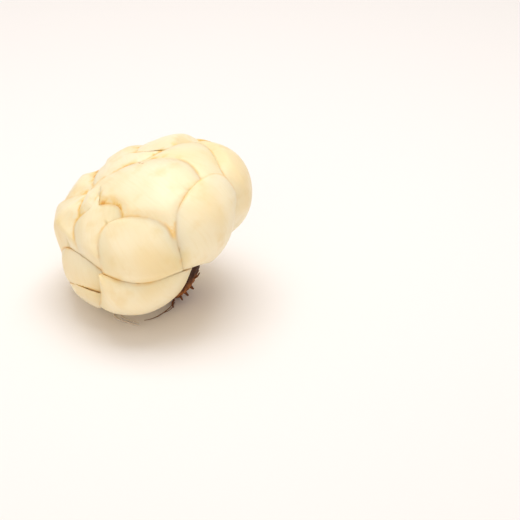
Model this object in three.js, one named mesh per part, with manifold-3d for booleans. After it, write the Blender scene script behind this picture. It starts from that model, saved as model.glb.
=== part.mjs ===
// Lily bulb: a squat bulb of fleshy overlapping scales, lying on its side with its growth axis leaning.
// Millimetres, +Z up. The origin is under the bulb, on the surface that it rests on.
//
// The upright bulb is described first. Its skin is an oblate ellipsoid, and every scale is a closed
// lens-shaped shell that follows it from the basal plate upwards. Scales are laid from the outermost
// inwards: each one gives way to those that lie over it. The whole bulb is then leaned and set down.
import * as THREE from 'three';
import { mergeVertices } from 'three/addons/utils/BufferGeometryUtils.js';
import Module from 'manifold-3d';

const wasm = await Module();
wasm.setup();

// ---- Driving dimensions -------------------------------------------------------------------------
const BULB_RADIUS = 43;          // across the growth axis
const BULB_POLE = 28;            // from the middle of the bulb to its nose or its base
const LEAN_DEG = 34;             // of the growth axis, towards -X
const SEAT_HEIGHT = 32.5;        // from the surface it rests on to the middle of the bulb
const MIDDLE_SHIFT = -1.3;       // along X, so that the leaning bulb is centred over the origin
const CLEARANCE = 0.35;          // between pieces that touch
const NEST_GAP = 0.6;            // between one scale's hollow side and the scale under it
const VALLEY_SLOPE = 0.45;       // how steeply a scale rises from under the margin of the next one
const VALLEY_CURVE = 0.08;       // and how fast that slope grows, per mm
const MARGIN_THICKNESS = 1.0;    // of a scale at its edge
const PLAN_RADIUS = 38;          // turns degrees on the skin into mm along it
const SCALE_RING = 16;           // facets round a scale
const SCALE_ROWS = 13;           // facets from its foot to its tip
const INNER_RING = 14;
const INNER_ROWS = 10;
const PLATE_SIDES = 28;
const TIDY = 0.08;               // smallest detail kept after a cut
// The basal plate's half outline, from the middle of its underside to the top of its dome.
const PLATE_PROFILE = [
  [0, -30], [4, -30.2], [6.4, -29.9], [8.2, -28.8], [9.6, -26.6], [10.8, -23.4], [11, -20],
  [10.4, -16.4], [8, -12.8], [0, -11.2],
];
const PLATE_UNDERSIDE = PLATE_PROFILE[1][1];
const SKEW_FROM = -22;           // the plate's lower part grew askew, from this height down,
const SKEW = [-0.8, -0.54];      // by this much sideways for each mm

const rad = THREE.MathUtils.degToRad;
const deg = THREE.MathUtils.radToDeg;

// ---- The outer scales, outermost first ----------------------------------------------------------
// az: the side of the bulb the scale grows on. foot, tip: polar angles from the base. lean: how far
// the tip swings sideways. left, right: half-widths at even steps from foot to tip. blunt: how
// square the tip is. lift: height of the margins over the skin, at even steps from foot to tip.
// crown: how far the middle swells over them. All angles in degrees, heights in mm.
const OUTER_SCALES = [
  { az: -105, foot: 11, tip: 108, lean: -11, left: [8, 17, 28, 27, 12, 2],
    right: [8, 20, 28.5, 29.5, 12, 2], blunt: 20, lift: [-7.5, -5.2, -0.6, -0.3], crown: 6, thick: 4 },
  { az: -150, foot: 11, tip: 98, lean: 0, left: [8, 16, 24, 28, 26, 20],
    right: [8, 18, 26, 30, 30, 26], blunt: 7, lift: [-1, -1, -2.5, -3], crown: 1.6, thick: 4 },
  { az: 156, foot: 11, tip: 108, lean: 3, left: [8, 16, 27, 32, 26, 10],
    right: [8, 16, 26, 28, 22, 9], blunt: 12, lift: [0, -0.6, -1.8, -1.6], crown: 2.2, thick: 4 },
  { az: 50, foot: 11, tip: 106, lean: -4, left: [8, 15, 25, 28, 24, 12],
    right: [8, 16, 28, 31, 26, 12], blunt: 12, lift: [0, 0, 0, 0], crown: 2.8, thick: 4 },
  { az: 102, foot: 11, tip: 121, lean: 4, left: [8, 14, 24, 28, 26, 14],
    right: [8, 14, 24, 28, 26, 14], blunt: 12, lift: [0, 0, 0, -0.4], crown: 2.8, thick: 4 },
  { az: -88, foot: 11, tip: 139, lean: -10, left: [7, 12, 20, 22, 20, 14],
    right: [7, 6, 9, 19.5, 27, 25], blunt: 8, lift: [-2, -1, -0.6, -0.2], crown: 3, thick: 4.2 },
  { az: -46, foot: 11, tip: 118, lean: 3, left: [7, 20, 32, 32, 26, 22],
    right: [7, 11, 17, 24, 25, 26], blunt: 14, lift: [-5, -4.2, -1.4, 0], crown: 3.2, thick: 4.2 },
  { az: -150, foot: 11, tip: 128.5, lean: -2, left: [7, 14, 26, 32, 31, 24],
    right: [7, 14, 28, 38, 38, 30], blunt: 10, lift: [-3, -3.2, -4.2, -3], crown: 1.5, thick: 4 },
  { az: -116, foot: 12, tip: 155, lean: -1, left: [7, 10, 18, 22, 14, 24],
    right: [7, 10, 16, 18, 19, 22], blunt: 20, lift: [-2, -1.2, -1, -1], crown: 2, thick: 3.8 },
  { az: -62, foot: 12, tip: 181, lean: -14, left: [7, 12, 22, 30, 30, 22],
    right: [7, 12, 22, 33, 38, 13], blunt: 24,
    lift: [-3, -2.4, -1.9, -1.6, -1.1, -0.1], crown: 2.6, thick: 4 },
  { az: 128, foot: 12, tip: 141, lean: -4, left: [7, 12, 22, 28, 25, 12],
    right: [7, 12, 22, 28, 25, 12], blunt: 10, lift: [-2, -1.2, -0.6, 0], crown: 2.6, thick: 3.8 },
  { az: -170, foot: 12, tip: 165, lean: 0, left: [7, 11, 17, 24, 28, 31, 17, 1],
    right: [7, 12, 24, 34, 34, 16], blunt: 20,
    lift: [-2, -3, -4, -5, -5.6, -3, 3, -2], crown: 1.2, thick: 3.8 },
  { az: -30, foot: 12, tip: 162, lean: 3, left: [7, 10, 18, 24, 24, 12],
    right: [7, 8, 8, 15, 42, 6], blunt: 20, lift: [-3, -2, -3, -1.8], crown: 2.2, thick: 3.8 },
  { az: 8, foot: 12, tip: 132, lean: 4, left: [7, 14, 30, 37, 28, 12],
    right: [7, 12, 24, 30, 27, 14], blunt: 10, lift: [-2, -0.8, -1.2, -4], crown: 2.8, thick: 4 },
  { az: 45, foot: 12, tip: 158, lean: 0, left: [7, 14, 26, 32, 30, 24],
    right: [7, 10, 18, 23, 19, 5], blunt: 20, lift: [-3, -2.2, -2.2, -2, -1.9, -4], crown: 2, thick: 3.8 },
  { az: 98, foot: 12, tip: 188, lean: 0, left: [7, 12, 22, 34, 43, 56],
    right: [7, 9, 12, 14, 7, 17], blunt: 22,
    lift: [-3, -2.6, -2.6, -2.4, -1.4, -4], crown: 1, thick: 3.8 },
  { az: 72, foot: 12, tip: 150, lean: 2, left: [7, 10, 20, 26, 24, 12],
    right: [7, 10, 20, 26, 24, 12], blunt: 10, lift: [-3, -2, -1.4, -1.8], crown: 2.4, thick: 3.8 },
  { az: 145, foot: 12, tip: 181, lean: 0, left: [7, 10, 20, 30, 30, 24],
    right: [7, 10, 20, 28, 28, 20], blunt: 14,
    lift: [-3, -2.6, -2, -1, 0.4, 2.8], crown: 2.4, thick: 3.8 },
  { az: -128, foot: 11, tip: 176, lean: 0, left: [6, 9, 16, 24, 24, 16],
    right: [6, 9, 16, 24, 24, 16], blunt: 14, lift: [-4, -5, -4, -3], crown: 1.6, thick: 3.4 },
  { az: 20, foot: 11, tip: 178, lean: 0, left: [6, 9, 16, 24, 26, 20],
    right: [6, 9, 16, 24, 26, 20], blunt: 14, lift: [-4, -5, -4.6, -4], crown: 1.6, thick: 3.4 },
];

// ---- The heart of the bulb, the root tuft ---------------------------------------------------------
const INNER_SKIN = { radius: 25.5, pole: 13.5 };
const INNER_COUNT = 6;
const INNER_TURN = 137.5;        // degrees from one inner scale to the next
const INNER_SHAPE = { foot: 17, tip: 166, lean: 6, left: [9, 16, 26, 32, 28, 8],
  right: [9, 16, 26, 32, 28, 8], blunt: 8, lift: [0, 0, 0, 0], crown: 0.8, thick: 4 };
const BUD_RADIUS = 8.5;
const BUD_HEIGHT = 17;
const BUD_FOOT = -10.8;

// The trimmed roots: the side of the plate's underside each grows on, how far from its middle, its
// length, how far it splays, and its thickness. Degrees and mm. Four end on the surface, and help to
// hold up the plate's end of the bulb.
const ROOT_STUBS = [
  { az: -88, ring: 5.6, length: 1.8, splay: 40, thick: 1.2 },
  { az: -60, ring: 4.2, length: 2.2, splay: 30, thick: 1.5 },
  { az: -30, ring: 5.6, length: 1.8, splay: 40, thick: 1.2 },
  { az: 4, ring: 3.8, length: 2.4, splay: 24, thick: 1.5 },
  { az: 34, ring: 5.8, length: 2.4, splay: 40, thick: 1.3 },
  { az: 66, ring: 4.2, length: 4.8, splay: 28, thick: 1.6 },
  { az: 96, ring: 5.8, length: 4.4, splay: 36, thick: 1.3 },
  { az: 126, ring: 3.6, length: 2.5, splay: 24, thick: 1.6 },
  { az: 170, ring: 1.6, length: 2.7, splay: 14, thick: 1.4 },
  { az: -150, ring: 4.2, length: 1.5, splay: 10, thick: 1.4 },
];
// The roots that were left on, from the plate to the end: two lie under the bulb and hook back out
// in front, one hangs in front of them, and a short one sticks out beside the plate.
const BENT_ROOTS = [
  { thick: 0.9, points: [[4, -10.4, 1.4], [0.4, -11.4, 0.7], [-4.6, -12.9, 0.5], [-10, -14.6, 0.5],
    [-13.4, -16.8, 0.5], [-13, -20, 0.5], [-10, -22.8, 0.5], [-6.5, -25, 0.5]] },
  { thick: 0.9, points: [[3.4, -8.6, 1.3], [-0.6, -9.6, 0.7], [-6, -11.2, 0.5], [-11.5, -13, 0.5],
    [-15.6, -15.6, 0.5], [-16, -19.5, 0.5], [-12.5, -23.2, 0.5], [-6.5, -27, 0.5]] },
  { thick: 1, points: [[7.6, -11.2, 2.6], [7, -12.2, 1.6], [7.4, -13.4, 0.8]] },
  { thick: 0.9, points: [[16, -10, 11.9], [17.2, -10.8, 13.3], [18.2, -11.4, 15.2]] },
];
const ROOT_TAPER = 0.45;         // how much thinner a root is at its end
const ROOT_RING = 6;
const ROOT_ROWS = 7;

// ---- Shape helpers ------------------------------------------------------------------------------

// A smooth value between evenly spaced ones, at t from 0 to 1.
function along(values, t) {
  const steps = values.length - 1;
  const place = Math.min(Math.max(t, 0), 1) * steps;
  const i = Math.min(Math.floor(place), steps - 1);
  const f = place - i;
  const p1 = values[i];
  const p2 = values[i + 1];
  const p0 = i > 0 ? values[i - 1] : 2 * p1 - p2;
  const p3 = i + 2 <= steps ? values[i + 2] : 2 * p2 - p1;
  return 0.5 * (2 * p1 + (p2 - p0) * f + (2 * p0 - 5 * p1 + 4 * p2 - p3) * f * f
    + (3 * p1 - 3 * p2 + p3 - p0) * f * f * f);
}

// The lower of two heights, with a rounded change from one to the other.
function softMin(a, b, round) {
  const h = Math.max(round - Math.abs(a - b), 0) / round;
  return Math.min(a, b) - (h * h * round) / 4;
}

// A closed skin from the sphere's own grid: t runs from pole to pole, around is the angle round it.
function closedSkin(ring, rows, place) {
  let geometry = new THREE.SphereGeometry(1, ring, rows);
  geometry.deleteAttribute('normal');
  geometry.deleteAttribute('uv');
  geometry = mergeVertices(geometry);
  const position = geometry.getAttribute('position');
  for (let i = 0; i < position.count; i += 1) {
    const t = Math.acos(THREE.MathUtils.clamp(position.getY(i), -1, 1)) / Math.PI;
    const atPole = t < 1e-4 || t > 1 - 1e-4;
    const around = atPole ? null : Math.atan2(position.getZ(i), position.getX(i));
    const p = place(t, around);
    position.setXYZ(i, p.x, p.y, p.z);
  }
  return geometry;
}

// The direction of a point on a scale's own grid of polar angle and sideways angle, in degrees.
function towards(azDeg, polarDeg, sideDeg) {
  const az = rad(azDeg);
  const polar = rad(polarDeg);
  const side = rad(sideDeg);
  const out = new THREE.Vector3(Math.cos(az), Math.sin(az), 0);
  const round = new THREE.Vector3(-Math.sin(az), Math.cos(az), 0);
  return new THREE.Vector3()
    .addScaledVector(out, Math.cos(side) * Math.sin(polar))
    .addScaledVector(new THREE.Vector3(0, 0, -1), Math.cos(side) * Math.cos(polar))
    .addScaledVector(round, Math.sin(side));
}

// The point at a height over the bulb's skin, along a direction.
function overSkin(direction, height, size = { radius: BULB_RADIUS, pole: BULB_POLE }) {
  const { radius, pole } = size;
  const { x, y, z } = direction;
  const onSkin = new THREE.Vector3(x * radius, y * radius, z * pole);
  const normal = new THREE.Vector3(x / radius, y / radius, z / pole).normalize();
  return onSkin.addScaledVector(normal, height);
}

// ---- One scale ----------------------------------------------------------------------------------
class Scale {
  constructor(spec, size, lyingOver) {
    this.spec = spec;
    this.size = size;
    this.lyingOver = lyingOver;
    this.outline = this.makeOutline();
    this.surface = this.makeSurface();
  }

  // Half-width at s (0 at the foot, 1 at the tip) on the side of u, closed off round the tip.
  halfWidth(s, u) {
    const { left, right, blunt } = this.spec;
    const width = along(u < 0 ? left : right, s);
    return Math.max(width, 0.5) * Math.sqrt(Math.max(1 - s ** blunt, 0));
  }

  direction(s, u) {
    const { az, foot, tip, lean } = this.spec;
    return towards(az, foot + (tip - foot) * s, lean * s * s + u * this.halfWidth(s, u));
  }

  // The outline seen flat, in mm along the skin, as a closed ring of points.
  makeOutline() {
    const { foot, tip, lean } = this.spec;
    const ring = [];
    for (const u of [-1, 1]) {
      const side = [];
      for (let i = 0; i <= 24; i += 1) {
        const s = 1 - (1 - i / 24) ** 2;
        const sideways = lean * s * s + u * this.halfWidth(s, u);
        side.push([rad(sideways) * PLAN_RADIUS, rad(foot + (tip - foot) * s) * PLAN_RADIUS]);
      }
      ring.push(...(u < 0 ? side : side.reverse()));
    }
    return ring;
  }

  // Where a direction falls on this scale: s and u on its grid, and the distance outside its outline.
  locate(direction) {
    const az = rad(this.spec.az);
    const outwards = direction.x * Math.cos(az) + direction.y * Math.sin(az);
    const sideways = -direction.x * Math.sin(az) + direction.y * Math.cos(az);
    let polar = deg(Math.atan2(outwards, -direction.z));
    if (polar < -90) polar += 360;
    const side = deg(Math.asin(THREE.MathUtils.clamp(sideways, -1, 1)));
    const { foot, tip, lean } = this.spec;
    const s = THREE.MathUtils.clamp((polar - foot) / (tip - foot), 0, 1);
    const offset = side - lean * s * s;
    const u = THREE.MathUtils.clamp(offset / Math.max(this.halfWidth(s, offset), 0.5), -1, 1);
    const outside = distanceOutside(this.outline, rad(side) * PLAN_RADIUS, rad(polar) * PLAN_RADIUS);
    return { s, u, outside };
  }

  // Height of the outer face before the scales over it press it in.
  freeHeight(s, u) {
    const { lift, crown } = this.spec;
    const swell = Math.sin(Math.PI * s ** 0.85) ** 0.8 * (1 - u * u) * (1 - 0.25 * u * u);
    return along(lift, s) + crown * swell;
  }

  thickness(s, u) {
    const body = this.spec.thick * (0.5 + 0.5 * Math.sin(Math.PI * Math.min(s * 1.1, 1)));
    return MARGIN_THICKNESS + Math.max(body - MARGIN_THICKNESS, 0) * (1 - u * u);
  }

  // Height that a scale under this one may not pass, at a direction.
  ceiling(direction) {
    const { s, u, outside } = this.locate(direction);
    const rise = outside * (VALLEY_SLOPE + VALLEY_CURVE * outside);
    return this.height(s, u) - this.thickness(s, u) - NEST_GAP + rise;
  }

  // Heights of the outer face on an even grid, so that the scales underneath can read them.
  makeSurface() {
    const steps = 24;
    const rows = [];
    for (let i = 0; i <= steps; i += 1) {
      const row = [];
      for (let j = 0; j <= steps; j += 1) {
        const s = i / steps;
        const u = (2 * j) / steps - 1;
        const direction = this.direction(s, u);
        let height = this.freeHeight(s, u);
        for (const over of this.lyingOver) height = softMin(height, over.ceiling(direction), 0.8);
        row.push(height);
      }
      rows.push(row);
    }
    return rows;
  }

  height(s, u) {
    const steps = this.surface.length - 1;
    const a = THREE.MathUtils.clamp(s, 0, 1) * steps;
    const b = THREE.MathUtils.clamp((u + 1) / 2, 0, 1) * steps;
    const i = Math.min(Math.floor(a), steps - 1);
    const j = Math.min(Math.floor(b), steps - 1);
    const low = THREE.MathUtils.lerp(this.surface[i][j], this.surface[i][j + 1], b - j);
    const high = THREE.MathUtils.lerp(this.surface[i + 1][j], this.surface[i + 1][j + 1], b - j);
    return THREE.MathUtils.lerp(low, high, a - i);
  }

  // The closed shell, or a fatter copy of it that keeps the scales underneath at a distance.
  geometry(ring, rows, grow = 0) {
    const { az, foot, tip, lean } = this.spec;
    const wider = deg(grow / PLAN_RADIUS);
    return closedSkin(ring, rows, (t, around) => {
      const s = (1 - Math.cos(Math.PI * t)) / 2;
      const u = around === null ? 0 : Math.cos(around);
      const w = around === null ? 0 : -Math.sin(around);
      const half = this.thickness(s, u) / 2;
      const swell = Math.sign(w) * Math.abs(w) ** 0.6;
      const height = this.height(s, u) - half + (half + grow) * swell;
      const polar = foot + (tip - foot) * s + (2 * s - 1) * wider;
      const side = lean * s * s + u * (this.halfWidth(s, u) + wider);
      return overSkin(towards(az, polar, side), height, this.size);
    });
  }
}

// How far a point lies outside a closed outline, or 0 inside it.
function distanceOutside(outline, x, y) {
  let nearest = Infinity;
  let inside = false;
  for (let i = 0, j = outline.length - 1; i < outline.length; j = i, i += 1) {
    const [x1, y1] = outline[j];
    const [x2, y2] = outline[i];
    const dx = x2 - x1;
    const dy = y2 - y1;
    const length = dx * dx + dy * dy;
    const f = length > 0 ? THREE.MathUtils.clamp(((x - x1) * dx + (y - y1) * dy) / length, 0, 1) : 0;
    nearest = Math.min(nearest, Math.hypot(x - x1 - f * dx, y - y1 - f * dy));
    if (y1 > y !== y2 > y && x < x1 + ((y - y1) / (y2 - y1)) * dx) inside = !inside;
  }
  return inside ? 0 : nearest;
}

// ---- Solids -------------------------------------------------------------------------------------

function toSolid(geometry) {
  return new wasm.Manifold(new wasm.Mesh({
    numProp: 3,
    vertProperties: new Float32Array(geometry.getAttribute('position').array),
    triVerts: new Uint32Array(geometry.index.array),
  }));
}

function toGeometry(solid) {
  const { vertProperties, triVerts, numProp } = solid.getMesh();
  const positions = new Float32Array((vertProperties.length / numProp) * 3);
  for (let i = 0; i < positions.length / 3; i += 1) {
    for (let k = 0; k < 3; k += 1) positions[3 * i + k] = vertProperties[numProp * i + k];
  }
  const geometry = new THREE.BufferGeometry();
  geometry.setAttribute('position', new THREE.BufferAttribute(positions, 3));
  geometry.setIndex(new THREE.BufferAttribute(new Uint32Array(triVerts), 1));
  return geometry;
}

function largestBody(solid) {
  return solid.decompose().sort((a, b) => b.volume() - a.volume())[0];
}

// A solid without the crumbs and slivers that a cut can leave.
function mainBody(solid) {
  return largestBody(largestBody(solid).simplify(TIDY));
}

// ---- Basal plate --------------------------------------------------------------------------------
// Where a point of the even plate comes to lie on the askew one.
function skewed(x, y, height) {
  const below = Math.max(SKEW_FROM - height, 0);
  return [x + SKEW[0] * below, y + SKEW[1] * below];
}

// The short, hard disc of stem that every scale and root grows from, with its domed top inside.
function basalPlate(grow) {
  const profile = PLATE_PROFILE.map(([radius, height]) => new THREE.Vector2(radius, height));
  const grown = profile.map((point, i) => {
    if (point.x === 0) return new THREE.Vector2(0, point.y + grow * Math.sign(i - 0.5));
    const before = profile[i - 1];
    const after = profile[i + 1];
    const slope = new THREE.Vector2(after.y - before.y, before.x - after.x).normalize();
    return point.clone().addScaledVector(slope, grow);
  });
  const geometry = new THREE.LatheGeometry(grown, PLATE_SIDES).rotateX(Math.PI / 2);
  const place = geometry.getAttribute('position');
  for (let i = 0; i < place.count; i += 1) {
    const [x, y] = skewed(place.getX(i), place.getY(i), place.getZ(i));
    place.setX(i, x);
    place.setY(i, y);
  }
  geometry.deleteAttribute('normal');
  geometry.deleteAttribute('uv');
  return mergeVertices(geometry);
}

// ---- Bud and roots ------------------------------------------------------------------------------

// The growing point: a pointed egg on top of the plate.
function centralBud() {
  return closedSkin(INNER_RING, INNER_ROWS, (t, around) => {
    const radius = BUD_RADIUS * Math.sin(Math.PI * t) ** 0.9 * (1 - 0.35 * t);
    const height = BUD_FOOT + BUD_HEIGHT * (1 - Math.cos(Math.PI * t)) / 2;
    const turn = around ?? 0;
    return new THREE.Vector3(radius * Math.cos(turn), radius * Math.sin(turn), height);
  });
}

function rootRadius(root, t) {
  return (root.thick / 2) * (1 - ROOT_TAPER * t);
}

// A trimmed root runs straight out of the plate.
function stubLine(root) {
  const az = rad(root.az);
  const splay = rad(root.splay);
  return (t) => {
    const out = root.ring + root.length * t * Math.sin(splay);
    const down = PLATE_UNDERSIDE - CLEARANCE - root.length * t * Math.cos(splay);
    const [x, y] = skewed(0, 0, PLATE_UNDERSIDE);
    return new THREE.Vector3(x + out * Math.cos(az), y + out * Math.sin(az), down)
      .applyMatrix4(bulb.matrix);
  };
}

// A root that was left on runs through its points, and straight on at both ends.
function bentLine(root) {
  const curve = new THREE.CatmullRomCurve3(root.points.map((point) => new THREE.Vector3(...point)));
  return (t) => {
    const inside = THREE.MathUtils.clamp(t, 0, 1);
    return curve.getPointAt(inside).addScaledVector(curve.getTangentAt(inside), t - inside);
  };
}

function rootSkin(root, rows) {
  const line = root.points ? bentLine(root) : stubLine(root);
  const step = 0.02;
  return closedSkin(ROOT_RING, rows, (t, around) => {
    const here = line(t);
    if (around === null) return here;
    const ahead = line(t + step).sub(line(t - step)).normalize();
    const side = new THREE.Vector3(0, 0, 1).cross(ahead).normalize();
    const up = ahead.clone().cross(side);
    const radius = rootRadius(root, t) * Math.sin(Math.PI * t) ** 0.35;
    return here.addScaledVector(side, radius * Math.cos(around))
      .addScaledVector(up, radius * Math.sin(around));
  });
}

// ---- Assembly -----------------------------------------------------------------------------------
const SKIN = { radius: BULB_RADIUS, pole: BULB_POLE };
const FINISHES = {
  scale: { color: '#f3e6c4', roughness: 0.45, metalness: 0 },
  heart: { color: '#f0e2b0', roughness: 0.5, metalness: 0 },
  plate: { color: '#b98a4e', roughness: 0.85, metalness: 0 },
  root: { color: '#7a4a20', roughness: 0.8, metalness: 0 },
};

function addPiece(parent, name, geometry, finish) {
  const mesh = new THREE.Mesh(geometry, new THREE.MeshStandardMaterial(FINISHES[finish]));
  mesh.name = name;
  parent.add(mesh);
}

function numbered(word, i) {
  return `${word}_${String(i + 1).padStart(2, '0')}`;
}

function layScales(specs, size) {
  const laid = [];
  for (const spec of specs) laid.push(new Scale(spec, size, [...laid]));
  return laid;
}

// A fatter copy of a scale, which keeps the scales under it at a distance.
function roomFor(scale, ring, rows) {
  return toSolid(scale.geometry(ring, rows, CLEARANCE));
}

// Cuts each scale clear of the plate and of the scales that lie over it.
function cutScales(scales, ring, rows, taken) {
  const rooms = [...taken];
  return scales.map((scale) => {
    let solid = toSolid(scale.geometry(ring, rows));
    for (const room of rooms) {
      if (!solid.intersect(room).isEmpty()) solid = solid.subtract(room);
    }
    rooms.push(roomFor(scale, ring, rows));
    return mainBody(solid);
  });
}

const group = new THREE.Group();
const bulb = new THREE.Group();
bulb.rotation.y = -rad(LEAN_DEG);
bulb.position.set(MIDDLE_SHIFT, 0, SEAT_HEIGHT);
bulb.updateMatrix();
group.add(bulb);

// The surface that the bulb rests on, as a slab seen from the upright bulb: what reaches into it is
// pressed flat.
const slab = new THREE.BoxGeometry(4 * BULB_RADIUS, 4 * BULB_RADIUS, BULB_RADIUS);
slab.translate(0, 0, -BULB_RADIUS / 2);
slab.applyMatrix4(bulb.matrix.clone().invert());
slab.deleteAttribute('normal');
slab.deleteAttribute('uv');
const ground = toSolid(mergeVertices(slab));

const plateRoom = toSolid(basalPlate(CLEARANCE));
const outer = layScales(OUTER_SCALES, SKIN);
const outerSolids = cutScales(outer, SCALE_RING, SCALE_ROWS, [plateRoom, ground]);
outerSolids.forEach((solid, i) => {
  addPiece(bulb, numbered('outer_scale', i), toGeometry(solid), 'scale');
});

const innerSpecs = [];
for (let i = 0; i < INNER_COUNT; i += 1) innerSpecs.push({ ...INNER_SHAPE, az: i * INNER_TURN });
const inner = layScales(innerSpecs, INNER_SKIN);
const outerRooms = outer.map((scale) => roomFor(scale, SCALE_RING, SCALE_ROWS));
cutScales(inner, INNER_RING, INNER_ROWS, [plateRoom, ...outerRooms, ...outerSolids]).forEach((solid, i) => {
  addPiece(bulb, numbered('inner_scale', i), toGeometry(solid), 'heart');
});

addPiece(bulb, 'central_bud', centralBud(), 'heart');
addPiece(bulb, 'basal_plate', basalPlate(0), 'plate');
[...ROOT_STUBS, ...BENT_ROOTS].forEach((root, i) => {
  const rows = root.points ? 4 * root.points.length : ROOT_ROWS;
  addPiece(group, numbered('root', i), rootSkin(root, rows), 'root');
});

export default group;
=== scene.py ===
"""Looks for a fresh lily bulb lying on its side: waxy cream scales, a corky basal plate and dry roots.

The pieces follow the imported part: each scale is a closed lens of flesh laid over an egg-flat skin, and
gives way to the scales that lie over it. Lengths are in millimetres until a mesh is written in metres.
"""

import logging
import math
from dataclasses import dataclass, field

import bpy
import numpy as np
import numpy.typing as npt
from mathutils import Euler, Matrix, Vector

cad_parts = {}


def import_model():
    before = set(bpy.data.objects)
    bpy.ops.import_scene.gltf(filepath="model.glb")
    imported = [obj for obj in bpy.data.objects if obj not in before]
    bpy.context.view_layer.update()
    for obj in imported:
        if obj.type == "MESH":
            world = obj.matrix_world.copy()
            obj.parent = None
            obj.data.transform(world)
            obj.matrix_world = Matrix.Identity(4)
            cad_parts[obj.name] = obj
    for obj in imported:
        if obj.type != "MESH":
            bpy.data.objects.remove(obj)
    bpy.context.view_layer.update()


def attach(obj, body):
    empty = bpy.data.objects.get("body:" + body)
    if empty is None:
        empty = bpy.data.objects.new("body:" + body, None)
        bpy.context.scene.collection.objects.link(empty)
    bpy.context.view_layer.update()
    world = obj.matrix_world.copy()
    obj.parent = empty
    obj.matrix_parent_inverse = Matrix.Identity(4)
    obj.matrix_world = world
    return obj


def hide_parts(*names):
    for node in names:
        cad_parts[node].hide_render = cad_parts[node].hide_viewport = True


Array = npt.NDArray[np.float64]
log = logging.getLogger("lily_bulb")

MM = 0.001
# Further from a margin than any finish changes with it.
FAR_MM = 20.0


# ---- Small helpers --------------------------------------------------------------------------------


def linear(hex_colour: str) -> tuple[float, float, float, float]:
    """Turns an sRGB hex colour into a linear one.

    Args:
        hex_colour: the colour, such as "#F3E6C4".

    Returns:
        Red, green, blue and an alpha of 1.
    """
    parts = [int(hex_colour[i : i + 2], 16) / 255 for i in (1, 3, 5)]
    red, green, blue = (p / 12.92 if p <= 0.04045 else ((p + 0.055) / 1.055) ** 2.4 for p in parts)
    return red, green, blue, 1.0


def along(values: tuple[float, ...], t: Array) -> Array:
    """Reads a smooth value between evenly spaced ones.

    Args:
        values: the values at even steps from t = 0 to t = 1.
        t: where to read.

    Returns:
        One value for each t.
    """
    points = np.array(values, dtype=float)
    steps = len(points) - 1
    place = np.clip(t, 0, 1) * steps
    i = np.minimum(place.astype(int), steps - 1)
    f = place - i
    padded = np.concatenate([[2 * points[0] - points[1]], points, [2 * points[-1] - points[-2]]])
    p0, p1, p2, p3 = padded[i], padded[i + 1], padded[i + 2], padded[i + 3]
    return 0.5 * (
        2 * p1
        + (p2 - p0) * f
        + (2 * p0 - 5 * p1 + 4 * p2 - p3) * f**2
        + (3 * p1 - 3 * p2 + p3 - p0) * f**3
    )


def soft_min(a: Array, b: Array, rounding: float) -> Array:
    """Takes the lower of two heights, with a rounded change from one to the other.

    Args:
        a: one height for each point.
        b: the other height for each point.
        rounding: the difference over which the change is rounded.

    Returns:
        The lower height for each point.
    """
    h = np.maximum(rounding - np.abs(a - b), 0) / rounding
    return np.minimum(a, b) - h * h * rounding / 4


def unit(vectors: Array) -> Array:
    """Scales vectors to a length of 1."""
    return vectors / np.maximum(np.linalg.norm(vectors, axis=-1, keepdims=True), 1e-12)


def new_sphere(name: str, ring: int, rows: int) -> bpy.types.Object:
    """Adds a sphere to be shaped, with nothing else selected.

    Args:
        name: the object's name.
        ring: facets round its axis.
        rows: facets from pole to pole.

    Returns:
        The sphere, which is the active object.
    """
    bpy.ops.object.select_all(action="DESELECT")
    bpy.ops.mesh.primitive_uv_sphere_add(segments=ring, ring_count=rows, radius=1)
    obj = bpy.context.object
    obj.name = name
    obj.data.name = name
    return obj


def read_points(obj: bpy.types.Object) -> Array:
    """Reads a mesh's vertices as an array of points."""
    points = np.empty(len(obj.data.vertices) * 3)
    obj.data.vertices.foreach_get("co", points)
    return points.reshape(-1, 3)


def write_points(obj: bpy.types.Object, points_mm: Array) -> None:
    """Moves a mesh's vertices, makes its faces point outwards and shades it smooth.

    Args:
        obj: the piece.
        points_mm: the new places in millimetres.
    """
    obj.data.vertices.foreach_set("co", (points_mm * MM).ravel())
    obj.data.update()
    bpy.ops.object.select_all(action="DESELECT")
    obj.select_set(True)
    bpy.context.view_layer.objects.active = obj
    bpy.ops.object.mode_set(mode="EDIT")
    bpy.ops.mesh.select_all(action="SELECT")
    bpy.ops.mesh.normals_make_consistent(inside=False)
    bpy.ops.object.mode_set(mode="OBJECT")
    bpy.ops.object.shade_smooth()


def write_attribute(obj: bpy.types.Object, name: str, values: Array) -> None:
    """Stores one number a vertex for a material to read.

    Args:
        obj: the piece.
        name: the attribute's name.
        values: one number for each vertex.
    """
    attribute = obj.data.attributes.new(name, "FLOAT", "POINT")
    attribute.data.foreach_set("value", values.astype(np.float32))


def write_flat_map(obj: bpy.types.Object, flat: Array) -> None:
    """Lays the piece's own flat coordinates on its UV map.

    Args:
        obj: the piece.
        flat: two coordinates for each vertex, in millimetres.
    """
    corners = np.empty(len(obj.data.loops), dtype=np.int32)
    obj.data.loops.foreach_get("vertex_index", corners)
    obj.data.uv_layers.active.data.foreach_set("uv", flat[corners].astype(np.float32).ravel())


def dress(obj: bpy.types.Object, material: bpy.types.Material,
          node: str | None = None) -> None:
    """Dresses a piece, and lets it stand for its node of the part if it has one.

    Args:
        obj: the piece.
        material: what it is dressed in.
        node: the node that it stands for.
    """
    obj.data.materials.clear()
    obj.data.materials.append(material)
    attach(obj, "root")
    if node is not None:
        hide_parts(node)
    log.info("%s stands for %s", obj.name, node or "no node")


# ---- How the bulb lies ----------------------------------------------------------------------------


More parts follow.
